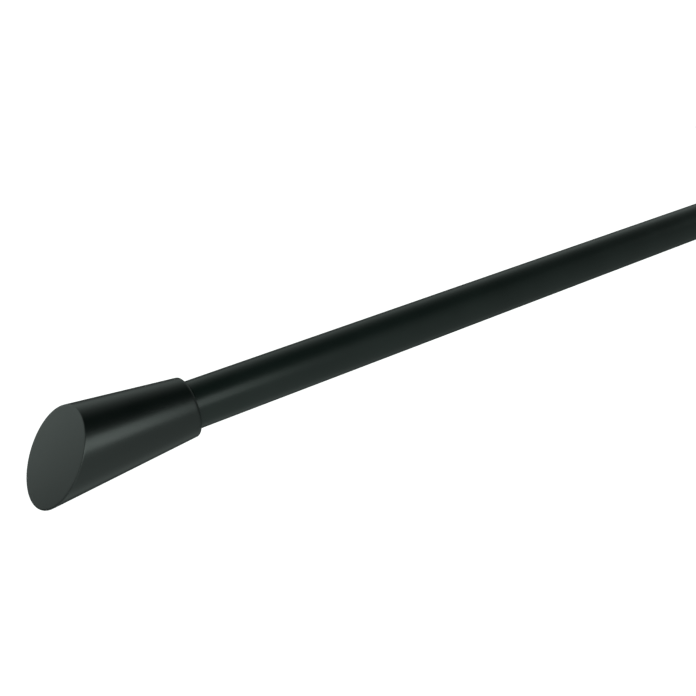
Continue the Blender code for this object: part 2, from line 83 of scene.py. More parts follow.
# %% Read the main sizes off the frame
MM = 0.001
SIDES = ("left", "right")
tube_low, tube_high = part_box("outer_tube")
rod_axis = Vector((0.0, (tube_low.y + tube_high.y) / 2, (tube_low.z + tube_high.z) / 2))
outer_radius = (tube_high.z - tube_low.z) / 2
inner_radius = (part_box("inner_tube")[1].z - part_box("inner_tube")[0].z) / 2
collar_x = {"left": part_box("left_finial")[1].x, "right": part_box("right_finial")[0].x}
station = {side: sum(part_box(side + "_wall_plate")[i].x for i in (0, 1)) / 2 for side in SIDES}
TUBE_WALL = 0.6 * MM
SLIDE = 0.2 * MM  # room round a piece that slides or turns in another
print("tube radii", round(outer_radius / MM, 2), round(inner_radius / MM, 2), "mm")
print("brackets", {side: round(x, 3) for side, x in station.items()}, "m along the rod")

# %% [markdown]
# ## The camera
#
# We stand in front of the set and above it, a forearm's length from the left finial, and look along the rod
# to the right and down, so that the slanted end faces us and the rod runs off into the distance. A camera
# can be turned in one go with three angles: first a small roll about its own line of sight, then the tilt
# up from straight down, then the heading about the vertical.

# %% Set up the camera
def show(name, data):
    """An object in the scene that shows some data: a camera, a lamp or a mesh."""
    made = bpy.data.objects.new(name, data)
    bpy.context.scene.collection.objects.link(made)
    return made


CAMERA_FROM_COLLAR = Vector((-0.10912, -0.23201, 0.21695))
HEADING = math.radians(38.36)  # from straight at the wall, round to the right
PITCH = math.radians(-36.23)
ROLL = math.radians(5.05)
camera_data = bpy.data.cameras.new("camera")
camera_data.lens = 45.0
camera_data.sensor_width = 36.0
camera_data.clip_start = 0.01
camera = show("camera", camera_data)
aim = Matrix.Rotation(-HEADING, 4, "Z") @ Matrix.Rotation(math.radians(90) + PITCH, 4, "X")
camera_place = Vector((collar_x["left"], rod_axis.y, rod_axis.z)) + CAMERA_FROM_COLLAR
camera.matrix_world = Matrix.Translation(camera_place) @ aim @ Matrix.Rotation(ROLL, 4, "Z")
bpy.context.scene.camera = camera
print("camera at", camera_place.to_tuple(3), "looking along", (aim @ Vector((0, 0, -1))).to_tuple(3))

# %% [markdown]
# ## Fine outlines
#
# Nearly every piece here was turned, drawn or cast, and none of them has a knife edge. So an outline is
# written as corners, each with the radius of its rounding, and one function swaps every corner for a small
# arc. That is what Blender's Bevel does too, but on the outline it stays exact however the piece is made
# afterwards.
#
# A second function puts extra points close to the arcs. They keep the shading of a long straight stretch
# from being pulled about by the rounding at its end.

# %% Rounded corners
def rounded(corners, closed=False, steps=5):
    """The line through corners (a, b, radius), with an arc of that radius in place of each corner."""
    points = []
    for i, (a, b, radius) in enumerate(corners):
        here = Vector((a, b))
        if radius == 0 or (not closed and i in (0, len(corners) - 1)):
            points.append(here)
            continue
        back = Vector(corners[i - 1][:2]) - here
        on = Vector(corners[(i + 1) % len(corners)][:2]) - here
        half = back.angle(on) / 2
        reach = min(radius / math.tan(half), 0.48 * back.length, 0.48 * on.length)
        radius = reach * math.tan(half)
        middle = here + (back.normalized() + on.normalized()).normalized() * radius / math.sin(half)
        first = here + back.normalized() * reach - middle
        last = here + on.normalized() * reach - middle
        sweep = math.remainder(math.atan2(last.y, last.x) - math.atan2(first.y, first.x), 2 * math.pi)
        for step in range(steps + 1):
            points.append(middle + Matrix.Rotation(sweep * step / steps, 2) @ first)
    return points


def supported(points, gap=0.4 * MM, parts=1, closed=False):
    """The same line with points a gap from the ends of its long stretches, and the rest cut in parts."""
    made = []
    last = len(points) if closed else len(points) - 1
    for i in range(last):
        start, stop = points[i], points[(i + 1) % len(points)]
        made.append(start)
        length = (stop - start).length
        if length > 4 * gap:
            shares = [gap / length + (1 - 2 * gap / length) * k / parts for k in range(parts + 1)]
            made += [start.lerp(stop, share) for share in shares]
    return made if closed else made + [points[-1]]


sample = supported(rounded([(0, 0, 0), (5 * MM, 0, 1 * MM), (5 * MM, 9 * MM, 0)]))
print("a single rounded corner takes", len(sample), "points")

# %% [markdown]
# ## Skins over rings
#
# A turned bar, a tube, a screw and a bent strip are the same thing to a computer: a row of rings with
# equally many points, joined by four-sided faces. One function makes that skin. Its two ends are closed by
# a fan of triangles, or the last ring is joined to the first where the piece is hollow. Blender's Screw
# modifier would turn the plain ones, but not the threads, flutes and slanted cuts, where the radius changes
# with the angle.

# %% Make a mesh over rings
def skin(name, rings, closed=False, poles=None):
    """An object over an array of rings; poles are the two points that close its ends."""
    rings = np.array(rings, float)
    rows, columns = rings.shape[:2]
    corners = [tuple(point) for point in rings.reshape(-1, 3)]
    faces = []
    for row in range(rows if closed else rows - 1):
        here, there = row * columns, (row + 1) % rows * columns
        for column in range(columns):
            beside = (column + 1) % columns
            faces.append((here + column, here + beside, there + beside, there + column))
    for pole, row in zip(poles or (), (0, rows - 1)):
        corners.append(tuple(pole))
        for column in range(columns):
            faces.append((row * columns + column, row * columns + (column + 1) % columns, len(corners) - 1))
    mesh = bpy.data.meshes.new(name)
    mesh.from_pydata(corners, [], faces)
    shape = bmesh.new()
    shape.from_mesh(mesh)
    bmesh.ops.recalc_face_normals(shape, faces=shape.faces)
    shape.to_mesh(mesh)
    shape.free()
    return show(name, mesh)


# %% [markdown]
# A turned piece is a line of (radius, height) points swept round an axis. The line that starts or ends at
# radius zero closes the piece there. `relief` is a function that adds to the radius at an angle and a
# height, which is how a thread or a knurl gets on to the bar, as a lathe or a roller would put it there.

# %% Turn an outline
def turn(name, line, axis, place, segments=128, closed=False, relief=None):
    """Sweeps (radius, height) points round the axis X, Y or Z through a place."""
    line = np.array(line, float)
    angles = np.arange(segments) * 2 * math.pi / segments
    solid = not closed
    ends = (line[0, 1], line[-1, 1])
    if solid:
        line = line[1:-1]
    radius = np.repeat(line[:, :1], segments, axis=1)
    height = np.repeat(line[:, 1:], segments, axis=1)
    if relief:
        radius = radius + relief(angles[None, :], radius, height)
    flat_a, flat_b = radius * np.cos(angles), radius * np.sin(angles)
    order = {"X": (height, flat_a, flat_b), "Y": (flat_b, height, flat_a), "Z": (flat_a, flat_b, height)}
    rings = np.stack(order[axis], axis=2) + np.array(place)
    along = Vector([letter == axis for letter in "XYZ"])
    poles = [Vector(place) + along * end for end in ends] if solid else None
    return skin(name, rings, closed, poles)


# %% [markdown]
# ## Cutting, joining and finishing
#
# Holes, recesses and slits are cut with a second shape, as a drill or a punch would, by a Boolean that is
# applied at once. The cutter goes away afterwards.

# %% Cut and join pieces
def settle(piece):
    """Makes what the modifiers show the piece's own mesh."""
    shown = piece.evaluated_get(bpy.context.evaluated_depsgraph_get())
    mesh = bpy.data.meshes.new_from_object(shown)
    piece.modifiers.clear()
    piece.data = mesh
    return piece


def combine(piece, tool, operation):
    """Works a tool into a piece and takes the tool away."""
    step = piece.modifiers.new("tool", "BOOLEAN")
    step.operation = operation
    step.solver = "EXACT"
    step.object = tool
    settle(piece)
    bpy.data.objects.remove(tool, do_unlink=True)
    return piece


def carve(piece, tool):
    """Cuts the tool's shape out of the piece."""
    return combine(piece, tool, "DIFFERENCE")


def weld(piece, tool):
    """Joins the tool's shape to the piece."""
    return combine(piece, tool, "UNION")


def bar(name, radius, start, stop, axis, place, segments=48):
    """A plain round bar between two heights, for drills and bosses."""
    return turn(name, [(0, start), (radius, start), (radius, stop), (0, stop)], axis, place, segments)


def prism(name, plan, low, high):
    """An upright block over a plan of (x, y) corners, for slots and sockets."""
    rings = [[(x, y, z) for x, y in plan] for z in (low, high)]
    middle = [sum(values) / len(plan) for values in zip(*plan)]
    return skin(name, rings, poles=[(*middle, low), (*middle, high)])


# %% [markdown]
# Handling rubs a finish on its outer edges first. The meshes know where those are: wherever two small faces
# meet at an outward angle. Each point keeps how sharply its faces turn, as a value called `rub`, and the
# finishes read it. Very sharp edges are left out, because they are only the rims of drilled holes.
#
# The last touch is a Weighted Normal modifier, which lets the large faces say which way the surface looks.

# %% Mark the rubbed edges and hand a piece over
SOFT_TURN = 0.07  # radians between two faces that still count as flat
FULL_TURN = 0.30  # from here on an edge is fully rubbed
RIM_TURN = 0.95  # and from here on it is the rim of a hole
HARD_EDGE = math.radians(50)  # the shading breaks at such an edge


def mark_rub(mesh):
    """Stores on each point how much of an outer edge it is, from 0 to 1."""
    shape = bmesh.new()
    shape.from_mesh(mesh)
    rub = np.zeros(len(shape.verts))
    for edge in shape.edges:
        if len(edge.link_faces) == 2:
            bend = edge.calc_face_angle_signed(0.0)
            if SOFT_TURN < bend < RIM_TURN:
                share = min(1.0, (bend - SOFT_TURN) / (FULL_TURN - SOFT_TURN))
                for vert in edge.verts:
                    rub[vert.index] = max(rub[vert.index], share)
    shape.free()
    layer = mesh.attributes.new("rub", "FLOAT", "POINT")
    layer.data.foreach_set("value", rub.astype(np.float32))
    return float(rub.mean())


def hand_over(piece, finish, slot, *nodes):
    """Gives a piece its finish, and lets it stand for CAD nodes on their body."""
    rubbed = mark_rub(piece.data)
    piece.data.materials.clear()
    piece.data.materials.append(finish)
    piece.data.shade_smooth()
    piece.data.set_sharp_from_angle(angle=HARD_EDGE)
    even = piece.modifiers.new("even_shading", "WEIGHTED_NORMAL")
    even.keep_sharp = True
    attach(piece, home[nodes[0]])
    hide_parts(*nodes)
    print(f"{piece.name}: {len(piece.data.polygons)} faces, {rubbed:.0%} edge, on {home[nodes[0]]}")
    return piece


# %% [markdown]
# ## Grain for the finishes
#
# A real finish is never one flat colour. These small helpers add noise that sticks to the piece, stretch it
# to the range that a socket wants, and mix two colours by it. Sizes are in metres on the object, so the
# grain stays right however close the camera comes.

# %% Small helpers for node materials
def new_finish(name):
    """A fresh material, with its node tree and its shader."""
    made = bpy.data.materials.new(name)
    made.use_nodes = True
    tree = made.node_tree
    return made, tree, tree.nodes["Principled BSDF"]


def grain(tree, size, detail=2.0, stretch=(1.0, 1.0, 1.0)):
    """Noise with blotches of about a size in metres; stretch above 1 draws it finer along an axis."""
    place = tree.nodes.new("ShaderNodeTexCoord")
    scale = tree.nodes.new("ShaderNodeMapping")
    scale.inputs["Scale"].default_value = stretch
    noise = tree.nodes.new("ShaderNodeTexNoise")
    noise.inputs["Scale"].default_value = 1 / size
    noise.inputs["Detail"].default_value = detail
    tree.links.new(place.outputs["Object"], scale.inputs["Vector"])
    tree.links.new(scale.outputs["Vector"], noise.inputs["Vector"])
    return noise.outputs["Fac"]


def spread(tree, value, low, high, source=(0.3, 0.7)):
    """Stretches a value from its own range to another one."""
    node = tree.nodes.new("ShaderNodeMapRange")
    node.inputs["From Min"].default_value = source[0]
    node.inputs["From Max"].default_value = source[1]
    node.inputs["To Min"].default_value = low
    node.inputs["To Max"].default_value = high
    tree.links.new(value, node.inputs["Value"])
    return node.outputs["Result"]


def reckon(tree, first, second, operation="ADD"):
    """Adds two values, or does another sum with them; the second may be a plain number."""
    node = tree.nodes.new("ShaderNodeMath")
    node.operation = operation
    tree.links.new(first, node.inputs[0])
    if isinstance(second, float):
        node.inputs[1].default_value = second
    else:
        tree.links.new(second, node.inputs[1])
    return node.outputs["Value"]


def two_tone(tree, value, first, second):
    """One colour where the value is 0, the other where it is 1."""
    node = tree.nodes.new("ShaderNodeMix")
    node.data_type = "RGBA"
    colour_sockets = [socket for socket in node.inputs if socket.type == "RGBA"]
    for socket, colour in zip(colour_sockets, (first, second)):
        if isinstance(colour, tuple):
            socket.default_value = (*colour, 1.0)
        else:
            tree.links.new(colour, socket)
    tree.links.new(value, node.inputs["Factor"])
    return next(socket for socket in node.outputs if socket.type == "RGBA")


def rubbed_edge(tree, size=1.5 * MM):
    """The rub value of the mesh, broken up by noise so that the wear comes and goes along an edge."""
    node = tree.nodes.new("ShaderNodeAttribute")
    node.attribute_name = "rub"
    broken = spread(tree, grain(tree, size, 3.0), 0.0, 1.0, (0.42, 0.62))
    return reckon(tree, node.outputs["Fac"], broken, "MULTIPLY")


def bump(tree, height, depth, strength=1.0, under=None):
    """Turns a height from 0 to 1 into dents of a real depth in metres."""
    node = tree.nodes.new("ShaderNodeBump")
    node.inputs["Distance"].default_value = depth
    node.inputs["Strength"].default_value = strength
    tree.links.new(height, node.inputs["Height"])
    if under:
        tree.links.new(under, node.inputs["Normal"])
    return node.outputs["Normal"]


# %% [markdown]
# ## Satin black powder coat
#
# The rod, the finials and the castings are dusted with black polyester powder and baked. The powder flows
# out into a satin skin with a faint orange peel, about two millimetres from crest to crest, and a dust-fine
# grain on top. Where the skin is drawn thin over an edge it turns a little greyer and shinier. The colour
# itself is nearly black, so what we see of the coat is mostly how softly it mirrors the room.
#
# Thin tubes and thick castings come out of the oven differently: the coat on the castings flows longer, so
# it is a touch deeper and glossier. One function makes both grades.

# %% Powder coat
PEEL_SIZE, PEEL_DEPTH = 2.2 * MM, 0.006 * MM
DUST_SIZE, DUST_DEPTH = 0.16 * MM, 0.0012 * MM
THIN_COAT = (0.020, 0.024, 0.023)  # the grey of the coat over an edge


def powder_coat(name, dark, light, bend):
    """Satin coat between two near-blacks; bend is how strongly it bends light, which sets its gloss."""
    made, tree, shader = new_finish(name)
    cloud = grain(tree, 30 * MM, 3.0)
    peel = grain(tree, PEEL_SIZE, 1.0)
    dust = grain(tree, DUST_SIZE, 2.0)
    rub = rubbed_edge(tree)
    coat = two_tone(tree, spread(tree, cloud, 0.0, 1.0), dark, light)
    colour = two_tone(tree, spread(tree, rub, 0.0, 0.55, (0.0, 1.0)), coat, THIN_COAT)
    tree.links.new(colour, shader.inputs["Base Color"])
    cloudy = spread(tree, cloud, 0.285, 0.325)
    dusty = spread(tree, dust, -0.02, 0.03)
    polish = spread(tree, rub, 0.0, -0.05, (0.0, 1.0))
    tree.links.new(reckon(tree, reckon(tree, cloudy, dusty), polish), shader.inputs["Roughness"])
    shader.inputs["IOR"].default_value = bend
    peeled = bump(tree, peel, PEEL_DEPTH)
    tree.links.new(bump(tree, dust, DUST_DEPTH, 1.0, peeled), shader.inputs["Normal"])
    return made


ROD_COAT = powder_coat(
    "satin_black_on_tube", dark=(0.0065, 0.0108, 0.0095), light=(0.0095, 0.0148, 0.0133), bend=1.45
)
CAST_COAT = powder_coat(
    "satin_black_on_castings", dark=(0.0024, 0.0046, 0.0040), light=(0.0042, 0.0070, 0.0061), bend=1.60
)
print("powder coat has", len(ROD_COAT.node_tree.nodes), "nodes")

# %% [markdown]
# ## Black oxide and zinc
#
# The thumb screws and grub screws are steel that was boiled black, so they shine like metal but darkly, and
# the crests of their knurls and threads show bare steel first. The wall screws are zinc plated: bright, a
# little cloudy, with a hint of yellow. Both are a thin plating on steel, so one function makes them: fully
# metallic, cloudy in colour and gloss, and bare where `rub` says so.

# %% Oxide and zinc
def plated_steel(name, dark, light, bare, rough, bare_share):
    """Metal with a cloudy plating that wears to a bare colour on its edges."""
    made, tree, shader = new_finish(name)
    cloud = grain(tree, 4 * MM, 4.0)
    turning = grain(tree, 0.12 * MM, 2.0)
    rub = rubbed_edge(tree, 0.8 * MM)
    plating = two_tone(tree, spread(tree, cloud, 0.0, 1.0), dark, light)
    colour = two_tone(tree, spread(tree, rub, 0.0, bare_share, (0.0, 1.0)), plating, bare)
    tree.links.new(colour, shader.inputs["Base Color"])
    cloudy = spread(tree, cloud, rough - 0.06, rough + 0.06)
    tree.links.new(reckon(tree, cloudy, spread(tree, turning, -0.04, 0.04)), shader.inputs["Roughness"])
    shader.inputs["Metallic"].default_value = 1.0
    tree.links.new(bump(tree, turning, 0.002 * MM), shader.inputs["Normal"])
    return made


OXIDE = plated_steel(
    "black_oxide_steel",
    dark=(0.030, 0.030, 0.033),
    light=(0.060, 0.059, 0.062),
    bare=(0.30, 0.29, 0.28),
    rough=0.36,
    bare_share=0.5,
)
ZINC = plated_steel(
    "bright_zinc_plate",
    dark=(0.50, 0.51, 0.53),
    light=(0.72, 0.71, 0.66),
    bare=(0.80, 0.80, 0.80),
    rough=0.30,
    bare_share=0.4,
)
print("plating has", len(OXIDE.node_tree.nodes), "nodes")

# %% [markdown]
# ## Nylon
#
# The glides and the liners are moulded black nylon and the wall plugs grey nylon: matt, slightly blotchy,
# with the fine spark texture of the mould. Two bumps do it, slow dimples where the plastic shrank and the
# sparks over them.

# %% Nylon
def nylon(name, dark, light, pale, rough):
    """Matt moulded plastic, paler where its edges were rubbed."""
    made, tree, shader = new_finish(name)
    cloud = grain(tree, 6 * MM, 3.0)
    spark = grain(tree, 0.20 * MM, 2.0)
    flow = grain(tree, 1.2 * MM, 1.0)
    body = two_tone(tree, spread(tree, cloud, 0.0, 1.0), dark, light)
    colour = two_tone(tree, spread(tree, rubbed_edge(tree), 0.0, 0.5, (0.0, 1.0)), body, pale)
    tree.links.new(colour, shader.inputs["Base Color"])
    sparkle = spread(tree, spark, -0.05, 0.05)
    cloudy = spread(tree, cloud, rough - 0.04, rough + 0.04)
    tree.links.new(reckon(tree, cloudy, sparkle), shader.inputs["Roughness"])
    shader.inputs["IOR"].default_value = 1.53
    dimpled = bump(tree, flow, 0.010 * MM)
    tree.links.new(bump(tree, spark, 0.004 * MM, 1.0, dimpled), shader.inputs["Normal"])
    return made


BLACK_NYLON = nylon(
    "moulded_black_nylon",
    dark=(0.010, 0.010, 0.011),
    light=(0.019, 0.019, 0.020),
    pale=(0.05, 0.05, 0.05),
    rough=0.50,
)
GREY_NYLON = nylon(
    "moulded_grey_nylon",
    dark=(0.33, 0.34, 0.35),
    light=(0.42, 0.43, 0.43),
    pale=(0.55, 0.56, 0.56),
    rough=0.48,
)
print("finishes:", [finish.name for finish in (ROD_COAT, CAST_COAT, OXIDE, ZINC, BLACK_NYLON, GREY_NYLON)])

# %% [markdown]
# ## The two tubes
#
# The rod is two steel tubes, one sliding in the other. A tube is a closed outline, up the outside and down
# the bore, with the sawn ends broken so that they don't cut. It is turned once round the rod's line. Cross
# rings every few centimetres keep the long faces from becoming slivers.

# %% Draw the tubes
def drawn_tube(name, node):
    """One tube of the rod, from its solid's length and diameter."""
    low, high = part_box(node)
    outside = (high.z - low.z) / 2
    inside = outside - TUBE_WALL
    lip = 0.4 * TUBE_WALL
    corners = [(outside, low.x, lip), (outside, high.x, lip), (inside, high.x, lip), (inside, low.x, lip)]
    line = supported(rounded(corners, closed=True, steps=4), parts=24, closed=True)
    return hand_over(turn(name, line, "X", rod_axis, 160, closed=True), ROD_COAT, "black_powder_coat", node)


drawn_tube("tube_outer", "outer_tube")
drawn_tube("tube_inner", "inner_tube")

# %% [markdown]
# ## The nylon bush and the glide
#
# Steel on steel would scratch and rattle. A nylon bush sits in the mouth of the outer tube and shows only
# as a thin black lip, and a nylon glide is pushed into the hidden end of the inner tube. Both are turned
# outlines. The glide has two grooves round its head, which hold a little grease.

# %% Mould the bush and the glide
BUSH_LIP_LENGTH = 1.8 * MM
GROOVE_WIDTH = 0.9 * MM
GROOVE_DEPTH = 0.5 * MM


def bush():
    """The nylon ring in the mouth of the outer tube."""
    low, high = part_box("mouth_bush")
    lip = (high.z - low.z) / 2
    bore = inner_radius + SLIDE
    spigot = outer_radius - TUBE_WALL - SLIDE
    shoulder = high.x - BUSH_LIP_LENGTH
    corners = [
        (bore, high.x, 0.2 * MM),
        (lip, high.x, 0.4 * MM),
        (lip, shoulder, 0.1 * MM),
        (spigot, shoulder, 0.0),
        (spigot, low.x, 0.2 * MM),
        (bore, low.x, 0.1 * MM),
    ]
    line = supported(rounded(corners, closed=True), 0.2 * MM, 4, closed=True)
    made = turn("bush_mouth", line, "X", rod_axis, 160, closed=True)
    return hand_over(made, BLACK_NYLON, "black_nylon", "mouth_bush")


def glide():
    """The nylon plug that guides the hidden end of the inner tube."""
    low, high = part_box("inner_glide")
    head = (high.z - low.z) / 2
    stem = inner_radius - TUBE_WALL - SLIDE
    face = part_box("inner_tube")[0].x - 0.3 * MM
    floor = head - GROOVE_DEPTH
    corners = [(0, low.x, 0), (head, low.x, 0.8 * MM)]
    for share in (0.42, 0.68):
        start = low.x + share * (face - low.x)
        stop = start + GROOVE_WIDTH
        corners += [(radius, x, 0.15 * MM) for radius, x in ((head, start), (floor, start))]
        corners += [(radius, x, 0.15 * MM) for radius, x in ((floor, stop), (head, stop))]
    corners += [(head, face, 0.4 * MM), (stem, face, 0.2 * MM), (stem, high.x, 0.9 * MM), (0, high.x, 0)]
    line = supported(rounded(corners, steps=3), 0.2 * MM)
    made = turn("glide_inner", line, "X", rod_axis, 128)
    return hand_over(made, BLACK_NYLON, "black_nylon", "inner_glide")


bush()
glide()

# %% [markdown]
# ## The finials
#
# A finial is a turned steel cone with a collar bored for the tube, sawn off on a slant. It could be a cone
# cut by a Boolean and bevelled, but the rounded rim is what catches the light here, so it is built exactly.
# At each angle round the axis the cone and the cut show as two straight lines that meet in a corner. That
# corner is rounded like any other, and the outlines for all angles together are the finial.

# %% Work out the slanted outline
COLLAR_WALL = 2.11 * MM
COLLAR_ROUND = 1.4 * MM
CONE_TAPER = 0.0953  # gain in radius for each unit of length
CUT_SLANT = math.radians(33.1)
CUT_ROUND = 0.4 * MM
FINIAL_LENGTH = 51.03 * MM  # collar face to the cut, along the centre line
BORE_DEPTH = 23 * MM
FINIAL_BORE = outer_radius + SLIDE
COLLAR_RADIUS = FINIAL_BORE + COLLAR_WALL


def rim(angle):
    """Radius and depth of the rim, before it is rounded, at an angle above the horizontal."""
    lean = math.sin(angle) * math.tan(CUT_SLANT)
    root = COLLAR_RADIUS - CONE_TAPER * COLLAR_ROUND
    depth = (FINIAL_LENGTH - lean * root) / (1 + lean * CONE_TAPER)
    return root + CONE_TAPER * depth, depth


def slant_line(angle):
    """A finial's (radius, depth) points at an angle above the horizontal, from the bore to the cut."""
    corners = [
        (0, BORE_DEPTH, 0),
        (FINIAL_BORE, BORE_DEPTH, 0.4 * MM),
        (FINIAL_BORE, 0, 0.25 * MM),
        (COLLAR_RADIUS, 0, COLLAR_ROUND),
        (*rim(angle), CUT_ROUND),
        (0, FINIAL_LENGTH, 0),
    ]
    return supported(rounded(corners, steps=8), 0.5 * MM, 10)


for where, angle in (("under", -math.pi / 2), ("over", math.pi / 2)):
    rim_radius, rim_depth = rim(angle)
    print(f"{where} the axis the rim is {rim_depth / MM:.1f} mm deep, {rim_radius / MM:.1f} mm in radius")


# %% [markdown]
# The right finial is the left one turned end for end, so one function makes both. The hole for the grub
# screw is drilled from below.

# %% Turn and drill the finials
FINIAL_SEGMENTS = 192


def finial(side):
    """One finial, bored, sawn off on a slant and drilled for its grub screw."""
    toward_end = -1 if side == "left" else 1
    face = Vector((collar_x[side], rod_axis.y, rod_axis.z))

    def around(angle, radius, depth):
        return face + Vector((toward_end * depth, radius * math.cos(angle), radius * math.sin(angle)))

    angles = [2 * math.pi * k / FINIAL_SEGMENTS for k in range(FINIAL_SEGMENTS)]
    lines = [[around(angle, *point) for point in slant_line(angle)[1:-1]] for angle in angles]
    rings = list(zip(*lines))
    poles = [around(0.0, 0.0, depth) for depth in (BORE_DEPTH, FINIAL_LENGTH)]
    made = skin("finial_" + side, rings, poles=poles)
    low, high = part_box(side + "_finial_screw")
    middle = (low + high) / 2
    drill_radius = (high.x - low.x) / 2 + SLIDE
    bottom = low.z - 3 * MM  # well outside the collar
    top = high.z + 1 * MM  # past the screw's tip, in the open bore
    drill = bar("drill", drill_radius, bottom, top, "Z", (middle.x, middle.y, 0))
    return hand_over(carve(made, drill), CAST_COAT, "black_powder_coat", side + "_finial")


for side in SIDES:
    finial(side)

# %% [markdown]
# ## Threads and grub screws
#
# A thread is a ramp that climbs by one pitch for each turn. Seen on an unrolled bar it is a set of slanting
# grooves, so the depth at a point depends on its height and its angle together. The function below gives
# that depth, and `turn` adds it to the radius. The outline needs points close together where the thread
# runs.

# %% Threads
def ladder(radius, start, stop, step=0.12 * MM):
    """Points close together up a straight stretch; radius is a pair where the stretch tapers."""
    count = max(2, math.ceil(abs(stop - start) / step))
    first, last = radius if isinstance(radius, tuple) else (radius, radius)
    shares = [k / count for k in range(count + 1)]
    return [Vector((first + (last - first) * share, start + (stop - start) * share)) for share in shares]


def thread(pitch, depth, start, stop):
    """The relief of a V thread between two heights, which runs out gently at both and ends there."""

    def groove(angle, radius, height):
        wave = np.abs((height / pitch - angle / (2 * math.pi)) % 1.0 - 0.5) * 2
        fade = np.clip((height - start) / pitch, 0, 1) * np.clip((stop - height) / pitch, 0, 1)
        return -depth * wave * np.clip(2 * fade, 0, 1)

    return groove


print("a ladder up 6 mm has", len(ladder(2 * MM, 0.0, 6 * MM)), "points")

# %% [markdown]
# A grub screw is a short threaded pin with a hexagon socket and no head. Four of them hold this set
# together: one under each finial and one under each wall plate's boss.

# %% Cut the grub screws
GRUB_PITCH = 0.7 * MM
GRUB_THREAD = 0.32 * MM  # depth of the thread
GRUB_CHAMFER = 0.45 * MM
GRUB_CUP = 0.4 * MM  # the hollow in the tip, which bites
KEY_SHARE = 0.55  # the socket's corners, as a share of the screw's radius


def grub(side, where):
    """The grub screw under a finial or under a wall plate's boss."""
    node = f"{side}_{where}_screw"
    low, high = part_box(node)
    middle = (low + high) / 2
    radius = (high.x - low.x) / 2
    place = (middle.x, middle.y, 0.0)
    line = [(0, low.z), (radius - GRUB_CHAMFER, low.z)]
    line += ladder(radius, low.z + GRUB_CHAMFER, high.z - GRUB_CHAMFER, GRUB_PITCH / 10)
    line += [(0.45 * radius, high.z), (0.35 * radius, high.z - GRUB_CUP), (0, high.z - GRUB_CUP)]
    groove = thread(GRUB_PITCH, GRUB_THREAD, low.z, high.z)
    made = turn(f"grub_{where}_{side}", line, "Z", place, 72, relief=groove)
    corner = KEY_SHARE * radius
    turns = [k * math.pi / 3 for k in range(6)]
    plan = [(middle.x + corner * math.cos(a), middle.y + corner * math.sin(a)) for a in turns]
    key = prism("key", plan, low.z - 1 * MM, low.z + 0.45 * (high.z - low.z))
    return hand_over(carve(made, key), OXIDE, "black_oxide", node)


for side in SIDES:
    grub(side, "finial")
    grub(side, "arm")

# %% [markdown]
# ## Bent strips: the liners and the reducer
#
# The cradles are lined with a nylon pad that keeps the coat from being scratched, and the right finial,
# which fits the thinner tube, holds a split nylon sleeve. Both are a flat strip bent round the rod. So a
# rounded rectangle is swept along an arc, and the first and last rings are drawn in a little to round the
# ends.

# %% Bend strips round the rod
def bent_strip(name, inside, outside, x_low, x_high, start, stop, steps):
    """A strip between two radii, bent round the rod's line from one angle to another."""
    edge = 0.3 * (outside - inside)
    corners = [(radius, x_low, edge) for radius in (inside, outside)]
    corners += [(radius, x_high, edge) for radius in (outside, inside)]
    section = supported(rounded(corners, closed=True, steps=3), 0.3 * MM, 3, closed=True)
    centre = Vector(((inside + outside) / 2, (x_low + x_high) / 2))
    small = edge / outside
    # each turn has the share of its thickness that the strip keeps there
    turns = [(start, 0.75), (start + 0.4 * small, 0.93)]
    turns += [(start + small + (stop - start - 2 * small) * k / steps, 1.0) for k in range(steps + 1)]
    turns += [(stop - 0.4 * small, 0.93), (stop, 0.75)]
    rings = []
    for angle, share in turns:
        radial = Vector((0.0, math.cos(angle), math.sin(angle)))
        ring = []
        for point in section:
            radius = centre.x + (point.x - centre.x) * share
            along = point.y - math.copysign(edge * (1 - share), point.y - centre.y)
            ring.append(rod_axis + radial * radius + Vector((along, 0.0, 0.0)))
        rings.append(ring)
    middles = []
    for angle in (start, stop):
        radial = Vector((0.0, math.cos(angle), math.sin(angle)))
        middles.append(rod_axis + radial * centre.x + Vector((centre.y, 0.0, 0.0)))
    return skin(name, rings, poles=middles)


BELOW = math.radians(-90)  # straight down, as an angle round the rod
PAD_HALF = math.radians(70)
SLEEVE_SLIT = 5.2 * MM


def pad(side):
    """The liner of one cradle, round the lower part of its tube."""
    node = side + "_cradle_pad"
    low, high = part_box(node)
    inside = (outer_radius if side == "left" else inner_radius) + SLIDE
    outside = rod_axis.z - low.z
    start, stop = BELOW - PAD_HALF, BELOW + PAD_HALF
    made = bent_strip("pad_" + side, inside, outside, low.x, high.x, start, stop, 60)
    return hand_over(made, BLACK_NYLON, "black_nylon", node)


def reducer():
    """The split sleeve that lets the right finial sit on the thinner tube."""
    low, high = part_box("reducer_sleeve")
    outside = (high.y - low.y) / 2
    half = math.asin(SLEEVE_SLIT / 2 / outside)
    start, stop = BELOW + half, BELOW + 2 * math.pi - half
    made = bent_strip("sleeve_reducer", inner_radius + SLIDE, outside, low.x, high.x, start, stop, 120)
    return hand_over(made, BLACK_NYLON, "black_nylon", "reducer_sleeve")


for side in SIDES:
    pad(side)
reducer()

# %% [markdown]
# ## Wall plates
#
# Each bracket hangs on a round zinc casting: a plate with a relieved back and two countersunk holes, and a
# long boss that the arm slides in. All of it but the holes is one turned outline, from the back of the
# plate round the rim, up the boss and down its bore. The root of the boss has a generous inside corner, as
# castings do.

# %% Cast the wall plates
PLATE_THICKNESS = 3.2 * MM
BOSS_RADIUS = 9.0 * MM
ARM_BORE = 5.2 * MM
RELIEF_INSIDE = 9.1 * MM
RELIEF_OUTSIDE = 21.0 * MM
RELIEF_DEPTH = 0.9 * MM
BOSS_FLOOR = 2.5 * MM  # metal left behind the arm's bore
SCREW_HOLE = 2.5 * MM  # radius


